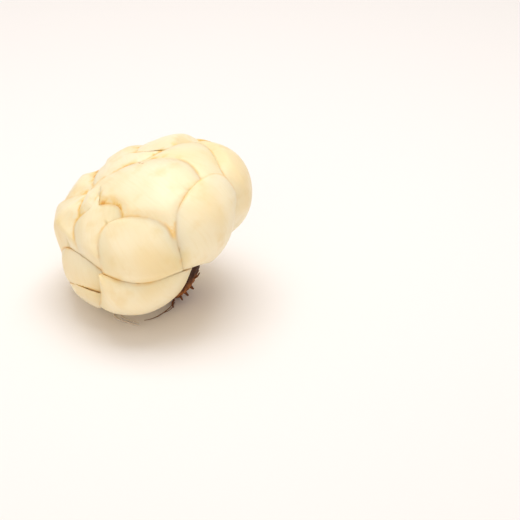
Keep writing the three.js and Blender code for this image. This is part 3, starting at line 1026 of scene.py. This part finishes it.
def add_surface(tree: bpy.types.NodeTree, relief: Socket, strength: float, relief_mm: float,
                finish: dict[str, object]) -> None:
    """Ends a material with its relief and its shader.

    Args:
        tree: the material's node tree.
        relief: the socket of the relief's height.
        strength: how strongly the relief shows.
        relief_mm: how deep the relief is.
        finish: the shader's inputs, as values or sockets.
    """
    settings = {"Height": relief, "Strength": strength, "Distance": relief_mm * MM}
    bump = add_node(tree, "ShaderNodeBump", settings)
    shader = add_node(tree, "ShaderNodeBsdfPrincipled", {"Normal": bump.outputs[0]} | finish)
    add_node(tree, "ShaderNodeOutputMaterial", {"Surface": shader.outputs["BSDF"]})


@dataclass(frozen=True)
class Speck:
    """A speck on the flesh, by its place on the upright bulb.

    az and polar are angles in degrees, length and width half-axes in millimetres, and height is how
    far over the skin its middle lies.
    """

    az: float
    polar: float
    length: float
    width: float
    strength: float
    height: float = 1.0
    depth: float = 8.0
    step: float = 0.02

    def half_axes(self) -> tuple[float, float, float]:
        """Gives its half-axes in metres."""
        return self.length * MM, self.width * MM, self.depth * MM

    def place(self, skin: Skin, lie: Lie) -> tuple[tuple, tuple]:
        """Finds where the speck lies.

        Args:
            skin: the skin that it is placed on.
            lie: how the bulb lies.

        Returns:
            Its middle in metres, and its rotation as Euler angles.
        """
        az, polar = math.radians(self.az), math.radians(self.polar)
        places = np.array([(az, polar), (az, polar + self.step), (az + self.step, polar)])
        direction = np.stack([np.cos(places[:, 0]) * np.sin(places[:, 1]),
                              np.sin(places[:, 0]) * np.sin(places[:, 1]),
                              -np.cos(places[:, 1])], axis=1)
        middle, ahead, beside = lie.place(skin.over(direction, np.full(3, self.height)))
        ahead, beside = unit(ahead - middle), unit(beside - middle)
        out = unit(np.cross(ahead, beside))
        axes = np.stack([ahead, np.cross(out, ahead), out], axis=1)
        return tuple(middle * MM), tuple(Matrix(axes.tolist()).to_euler())


@dataclass(frozen=True)
class ScaleFlesh:
    """Fresh scale flesh: starchy tissue under a thin waxy skin, grown and washed, never cut.

    To the eye it is ivory where it faces the light and straw-coloured in the shade, softly lit from
    within, with broad dull highlights, and its thin margins dry to amber. The crevices beside the
    margins that lie over it get painted amber shade, and the grooves round the nose are tinted yellow
    to orange-brown.
    """

    name: str = "waxy_bulb_flesh"
    pale: str = "#FAEBC9"
    body: str = "#F4DFAF"
    straw: str = "#E9CC84"
    # Amber of the dried margins, also painted as shade in the crevices beside the margins over a scale.
    margin: str = "#F9CB78"
    # Orange-brown and yellow for the tint in the grooves round the nose.
    dried: str = "#DC8A2C"
    groove_yellow: str = "#F5C653"
    rust: str = "#D07400"
    cloud_mm: float = 22
    patch_mm: float = 9
    uneven_mm: float = 7
    groove_patch_mm: float = 5
    fine_mm: float = 1.6
    veins_per_mm: float = 1.1
    folds_per_mm: float = 0.3
    fold_height: float = 9.0
    relief_mm: float = 0.15
    nose_from_mm: float = 84.0
    nose_full_mm: float = 100.0
    roughness: float = 0.42
    ior: float = 1.42
    wax: float = 0.12
    wax_roughness: float = 0.3
    glow: float = 0.35
    glow_reach: tuple[float, float, float] = (1.0, 0.88, 0.75)
    glow_depth_mm: float = 2.0
    jitter_mm: float = 0.9
    jitter_size_mm: float = 1.4
    specks: tuple[Speck, ...] = ()

    def build(self, skin: Skin, lie: Lie) -> bpy.types.Material:
        """Builds the material.

        Args:
            skin: the skin that specks are placed on.
            lie: how the bulb lies.

        Returns:
            The material.
        """
        material, tree = new_material(self.name)
        place = add_node(tree, "ShaderNodeTexCoord", {}).outputs["Object"]
        flat = add_node(tree, "ShaderNodeUVMap", {}).outputs[0]
        # Veins run from foot to tip about a millimetre apart, a little wider than real ones.
        vein = streaks(tree, flat, self.veins_per_mm, 0.07, 2.0)
        settings = SMOOTH | {"Value": vein, "From Min": 0.45, "From Max": 0.75, "To Max": 0.1}
        dark_vein = add_node(tree, "ShaderNodeMapRange", settings).outputs[0]
        height = add_node(tree, "ShaderNodeSeparateXYZ", {"Vector": flat}).outputs[1]
        settings = SMOOTH | {"Value": height, "From Min": self.nose_from_mm,
                             "From Max": self.nose_full_mm}
        nose = add_node(tree, "ShaderNodeMapRange", settings).outputs[0]
        layers = [
            (patches(tree, place, self.cloud_mm, 1.0, 0.35, 0.7), self.body),
            (patches(tree, place, self.patch_mm, 3.0, 0.5, 0.8, 0.45), self.straw),
            (dark_vein, self.straw),
        ]
        layers += self.margin_tint_and_crevice_shade(tree, place)
        layers += self.nose_groove_tint(tree, place, nose)
        layers += self.rust_specks(tree, place, skin, lie)

        settings = {"Vector": place, "Scale": 1 / (self.fine_mm * MM), "Detail": 3.0}
        fine = add_node(tree, "ShaderNodeTexNoise", settings).outputs[0]
        # The tips shrink as they dry and pleat lengthwise, in folds about 3 mm apart.
        fold = product(tree, streaks(tree, flat, self.folds_per_mm, 0.16, 2.0), nose,
                       self.fold_height)
        relief = total(tree, product(tree, vein, 0.6), fine, fold)
        add_surface(tree, relief, 0.35, self.relief_mm, {
            "Base Color": paint(tree, self.pale, layers),
            "Roughness": self.roughness,
            "IOR": self.ior,
            "Subsurface Weight": self.glow,
            "Subsurface Radius": self.glow_reach,
            "Subsurface Scale": self.glow_depth_mm * MM,
            "Coat Weight": self.wax,
            "Coat Roughness": self.wax_roughness,
        })
        return material

    def margin_tint_and_crevice_shade(self, tree: bpy.types.NodeTree, place: Socket) -> list[tuple[Socket, str]]:
        """Tints the scale's own margin amber where it dried, and paints shade into the crevices along
        the margins that lie over it.

        Args:
            tree: the material's node tree.
            place: the coordinates' socket, in metres.

        Returns:
            The layers of colour.
        """
        uneven = patches(tree, place, self.uneven_mm, 2.0, 0.36, 0.66)
        rim = product(tree, near(tree, "from_margin", 0.15, 1.3), uneven, 0.65)
        # Painted shade: amber in the crevice beside each margin that lies over this scale.
        crevice_shade = product(tree, near(tree, "from_overlap", 0.1, 1.3), uneven, 0.85)
        return [(rim, self.margin), (crevice_shade, self.margin)]

    def nose_groove_tint(self, tree: bpy.types.NodeTree, place: Socket,
                  nose: Socket) -> list[tuple[Socket, str]]:
        """Tints the grooves round the nose yellow, with orange-brown cores, in patches.

        Args:
            tree: the material's node tree.
            place: the coordinates' socket, in metres.
            nose: the socket of how near the nose the surface is.

        Returns:
            The layers of colour.
        """
        # Yellow and orange-brown, strongest beside the margins over the surface, near the nose only.
        groove = near(tree, "from_overlap", 0.0, 4.5)
        groove_yellow = product(tree, nose, groove, patches(tree, place, self.groove_patch_mm, 3.0, 0.42, 0.62))
        settings = SMOOTH | {"Value": product(tree, groove_yellow, groove_yellow), "From Min": 0.45, "From Max": 0.95,
                             "To Max": 0.55}
        core = add_node(tree, "ShaderNodeMapRange", settings).outputs[0]
        return [(product(tree, groove_yellow, 0.75), self.groove_yellow), (core, self.dried)]

    def rust_specks(self, tree: bpy.types.NodeTree, place: Socket, skin: Skin,
                    lie: Lie) -> list[tuple[Socket, str]]:
        """Puts the specks where they lie, with uneven edges.

        Args:
            tree: the material's node tree.
            place: the coordinates' socket, in metres.
            skin: the skin that specks are placed on.
            lie: how the bulb lies.

        Returns:
            The layers of colour.
        """
        settings = {"Vector": place, "Scale": 1 / (self.jitter_size_mm * MM), "Detail": 1.0}
        shift = add_node(tree, "ShaderNodeTexNoise", settings).outputs["Color"]
        for settings in ({"operation": "SUBTRACT", 1: (0.5, 0.5, 0.5)},
                         {"operation": "SCALE", "Scale": self.jitter_mm * MM},
                         {"operation": "ADD", 1: place}):
            shift = add_node(tree, "ShaderNodeVectorMath", settings | {0: shift}).outputs[0]
        layers = []
        for speck in self.specks:
            middle, turned = speck.place(skin, lie)
            settings = {"vector_type": "TEXTURE", "Vector": shift, "Location": middle,
                        "Rotation": turned, "Scale": speck.half_axes()}
            seen = add_node(tree, "ShaderNodeMapping", settings).outputs[0]
            settings = {"operation": "LENGTH", 0: seen}
            away = add_node(tree, "ShaderNodeVectorMath", settings).outputs["Value"]
            settings = SMOOTH | {"Value": away, "From Min": 0.35, "From Max": 1.25,
                                 "To Min": speck.strength, "To Max": 0.0}
            amount = add_node(tree, "ShaderNodeMapRange", settings).outputs[0]
            layers.append((amount, self.rust))
        return layers


@dataclass(frozen=True)
class DryCork:
    """Basal plate: stem tissue dried to cork, dull and cracked.

    To the eye it is near black and purple-brown where it meets the scales, its own dark fibres darkened
    further by painted shade under the scales' rim, and orange-brown with darker pits further down, in
    ridges that run to the rim.
    """

    name: str = "corky_stem"
    ridge: str = "#B06A2A"
    pit: str = "#5E2E10"
    # Near black for the band under the scales, partly painted shade.
    crease: str = "#33180E"
    roughness: float = 0.8
    crumb_mm: float = 2.2
    fibres_per_mm: float = 1.5
    relief_mm: float = 0.4
    shade_band_from_mm: float = -29.0
    shade_band_to_mm: float = -25.0
    ragged_mm: float = 2.4

    def build(self) -> bpy.types.Material:
        """Builds the material and returns it."""
        material, tree = new_material(self.name)
        place = add_node(tree, "ShaderNodeTexCoord", {}).outputs["Object"]
        flat = add_node(tree, "ShaderNodeUVMap", {}).outputs[0]
        fibre = streaks(tree, flat, self.fibres_per_mm, 0.22, 5.0)
        settings = {"Vector": place, "Scale": 1 / (self.crumb_mm * MM), "Detail": 6.0}
        crumb = add_node(tree, "ShaderNodeTexNoise", settings).outputs[0]
        grain = total(tree, product(tree, crumb, 0.45), product(tree, fibre, 0.55))
        settings = SMOOTH | {"Value": grain, "From Min": 0.38, "From Max": 0.62}
        raised = add_node(tree, "ShaderNodeMapRange", settings).outputs[0]
        # Painted shade under the scales' rim darkens the top of the plate over its own dark fibres;
        # fibres make this dark band ragged, up and down by half of ragged_mm.
        height = add_node(tree, "ShaderNodeSeparateXYZ", {"Vector": flat}).outputs[1]
        settings = SMOOTH | {"Value": total(tree, height, product(tree, fibre, self.ragged_mm)),
                             "From Min": self.shade_band_from_mm + self.ragged_mm / 2,
                             "From Max": self.shade_band_to_mm + self.ragged_mm / 2, "To Max": 0.9}
        dark = add_node(tree, "ShaderNodeMapRange", settings).outputs[0]
        colour = paint(tree, self.pit, [(raised, self.ridge), (dark, self.crease)])
        add_surface(tree, grain, 0.8, self.relief_mm,
                    {"Base Color": colour, "Roughness": self.roughness})
        return material


@dataclass(frozen=True)
class DryRoot:
    """Roots dried to tough fibre: dull, ridged lengthwise, red-brown with dark creases."""

    name: str = "dried_root"
    fibre: str = "#8A4C1C"
    crease: str = "#3A1C0A"
    roughness: float = 0.75
    ridges_per_mm: float = 4.0
    relief_mm: float = 0.15

    def build(self) -> bpy.types.Material:
        """Builds the material and returns it."""
        material, tree = new_material(self.name)
        flat = add_node(tree, "ShaderNodeUVMap", {}).outputs[0]
        ridges = streaks(tree, flat, self.ridges_per_mm, 0.18, 4.0)
        settings = SMOOTH | {"Value": ridges, "From Min": 0.35, "From Max": 0.65}
        raised = add_node(tree, "ShaderNodeMapRange", settings).outputs[0]
        add_surface(tree, ridges, 0.7, self.relief_mm,
                    {"Base Color": paint(tree, self.crease, [(raised, self.fibre)]),
                     "Roughness": self.roughness})
        return material


# ---- Studio ---------------------------------------------------------------------------------------


def look_along(direction: Array) -> Euler:
    """Turns a lamp or a camera to look along a direction, with its top up."""
    return Vector(tuple(direction)).to_track_quat("-Z", "Y").to_euler()


@dataclass(frozen=True)
class Lamp:
    """A large soft square lamp, turned to the bulb."""

    name: str
    place: tuple[float, float, float]
    size: float
    watts: float
    colour: str

    def hang(self) -> None:
        """Hangs the lamp."""
        bpy.ops.object.select_all(action="DESELECT")
        bpy.ops.object.light_add(type="AREA", location=self.place)
        lamp = bpy.context.object
        lamp.name = self.name
        lamp.data.size = self.size
        lamp.data.energy = self.watts
        lamp.data.color = linear(self.colour)[:3]
        lamp.rotation_euler = look_along(-np.array(self.place))


@dataclass(frozen=True)
class Studio:
    """A plain pale floor, soft light from above and in front, and the camera. In metres."""

    floor_size: float = 6.0
    floor_colour: str = "#F4F1F0"
    floor_roughness: float = 0.7
    sky_colour: str = "#FFF6EC"
    sky_strength: float = 0.67
    lamps: tuple[Lamp, ...] = (
        Lamp("key_lamp", (0.02, 0.1, 0.68), 0.5, 2.85, "#F8FBFF"),
        Lamp("fill_lamp", (-0.2, -0.95, 0.3), 0.9, 1.9, "#FFF6EA"),
    )
    elevation_deg: float = 27.0
    distance: float = 0.9
    view_size: float = 0.208
    aim_right: float = 0.0438
    aim_down: float = 0.0162
    sensor_mm: float = 36.0
    farthest_seen: float = 20.0

    def build(self, lie: Lie) -> None:
        """Sets up the floor, the light and the camera.

        Args:
            lie: how the bulb lies.
        """
        self.build_floor()
        self.build_light()
        self.build_camera(lie)

    def build_floor(self) -> None:
        """Lays the floor."""
        bpy.ops.object.select_all(action="DESELECT")
        bpy.ops.mesh.primitive_plane_add(size=self.floor_size)
        floor = bpy.context.object
        floor.name = "floor"
        material, tree = new_material("matt_white_table")
        shader = add_node(tree, "ShaderNodeBsdfPrincipled",
                          {"Base Color": linear(self.floor_colour), "Roughness": self.floor_roughness})
        add_node(tree, "ShaderNodeOutputMaterial", {"Surface": shader.outputs["BSDF"]})
        floor.data.materials.append(material)

    def build_light(self) -> None:
        """Sets up the white sky and hangs the lamps."""
        world = bpy.data.worlds.new("white_sky")
        bpy.context.scene.world = world
        world.use_nodes = True
        background = world.node_tree.nodes["Background"]
        background.inputs["Color"].default_value = linear(self.sky_colour)
        background.inputs["Strength"].default_value = self.sky_strength
        for lamp in self.lamps:
            lamp.hang()

    def build_camera(self, lie: Lie) -> None:
        """Sets the camera in front of the bulb, aimed a little past it.

        Args:
            lie: how the bulb lies.
        """
        e = math.radians(self.elevation_deg)
        middle = np.array([lie.middle_shift, 0, lie.seat_height]) * MM
        back = np.array([0, -math.cos(e), math.sin(e)])
        up = np.array([0, math.sin(e), math.cos(e)])
        place = middle + self.distance * back
        aim = middle + np.array([1, 0, 0]) * self.aim_right - up * self.aim_down
        bpy.ops.object.select_all(action="DESELECT")
        bpy.ops.object.camera_add(location=tuple(place))
        camera = bpy.context.object
        camera.name = "camera"
        camera.rotation_euler = look_along(aim - place)
        camera.data.sensor_width = self.sensor_mm
        camera.data.lens = self.sensor_mm / (self.view_size / self.distance)
        camera.data.clip_end = self.farthest_seen
        bpy.context.scene.camera = camera


# ---- The bulb -------------------------------------------------------------------------------------


RUST_SPECKS = (
    Speck(-18, 161, 0.6, 0.5, 0.8),
    Speck(-22, 160, 0.5, 0.5, 0.8),
    Speck(-24, 158, 0.6, 0.4, 0.7),
)


@dataclass
class LilyBulb:
    """The whole bulb."""

    lie: Lie
    skin: Skin = Skin(43, 28)
    scale_flesh: ScaleFlesh = ScaleFlesh(specks=RUST_SPECKS)
    heart_flesh: ScaleFlesh = ScaleFlesh(name="pale_heart_flesh", pale="#FFF2CC", body="#F8E2A8")
    cork: DryCork = DryCork()
    root: DryRoot = DryRoot()
    lying_root: DryRoot = DryRoot(name="bleached_root", fibre="#F2EADF", crease="#CDBBA6")

    def build(self) -> None:
        """Builds every piece from the outside in."""
        outer = Whorl("outer_scale", self.skin, OUTER_SHAPES, "scale")
        outer.build(self.lie, self.scale_flesh.build(self.skin, self.lie))
        Heart().build(self.lie, self.heart_flesh.build(self.skin, self.lie))
        BasalPlate().build(self.lie, self.cork.build())
        root = self.root.build()
        RootTuft(ROOT_STUBS, 1).build(self.lie, root)
        RootTuft(LYING_ROOTS, 1 + len(ROOT_STUBS)).build(self.lie, self.lying_root.build())
        RootTuft(SIDE_ROOTS, 1 + len(ROOT_STUBS) + len(LYING_ROOTS)).build(self.lie, root)
        RootTuft(RIM_STRANDS, 1, "rim_strand", False).build(self.lie, root)
        DryFringe().build(self.lie, root)


def main() -> None:
    """Loads the part, dresses it and sets it in the studio."""
    logging.basicConfig(level=logging.INFO, format="%(name)s: %(message)s")
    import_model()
    lie = Lie()
    LilyBulb(lie=lie).build()
    Studio().build(lie)
    scene = bpy.context.scene
    scene.view_settings.view_transform = "Standard"


if __name__ == "__main__":
    main()
